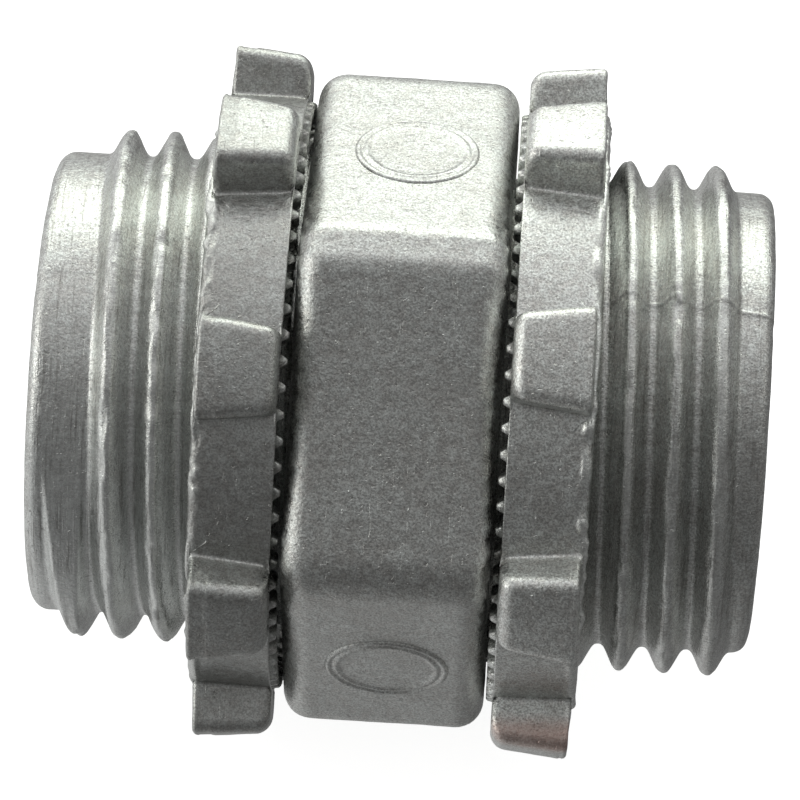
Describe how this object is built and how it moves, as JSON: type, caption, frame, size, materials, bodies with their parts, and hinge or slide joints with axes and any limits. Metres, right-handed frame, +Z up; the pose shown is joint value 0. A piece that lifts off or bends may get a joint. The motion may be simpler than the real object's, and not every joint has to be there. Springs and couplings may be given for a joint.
{
  "type": "conduit nipple with locknuts",
  "caption": "Die-cast zinc conduit nipple: a hexagonal shoulder between male threads, each with a castellated bonding locknut, to join two enclosures with a smooth wireway.",
  "frame": {"origin": "on the bore's axis, at the middle of the length", "axes": "+X along the bore, from the left locknut to the right one; +Z up when the part lies on its locknuts' lugs"},
  "size_m": [0.0294, 0.028, 0.028],
  "materials": {
    "zinc_nipple": "as-cast zinc alloy, satin, fine casting streaks and pits",
    "zinc_locknut": "as-cast zinc alloy, satin, trimmed flash and small burrs"
  },
  "bodies": {
    "nipple": {"nipple_body": "zinc_nipple"},
    "left_nut": {"left_locknut": "zinc_locknut"},
    "right_nut": {"right_locknut": "zinc_locknut"}
  },
  "joints": [
    {"name": "left_locknut_travel", "type": "slide", "parent": "nipple", "child": "left_nut", "axis": [-1, 0, 0], "range_m": [0, 0.00726]},
    {"name": "right_locknut_travel", "type": "slide", "parent": "nipple", "child": "right_nut", "axis": [1, 0, 0], "range_m": [0, 0.00726]}
  ]
}
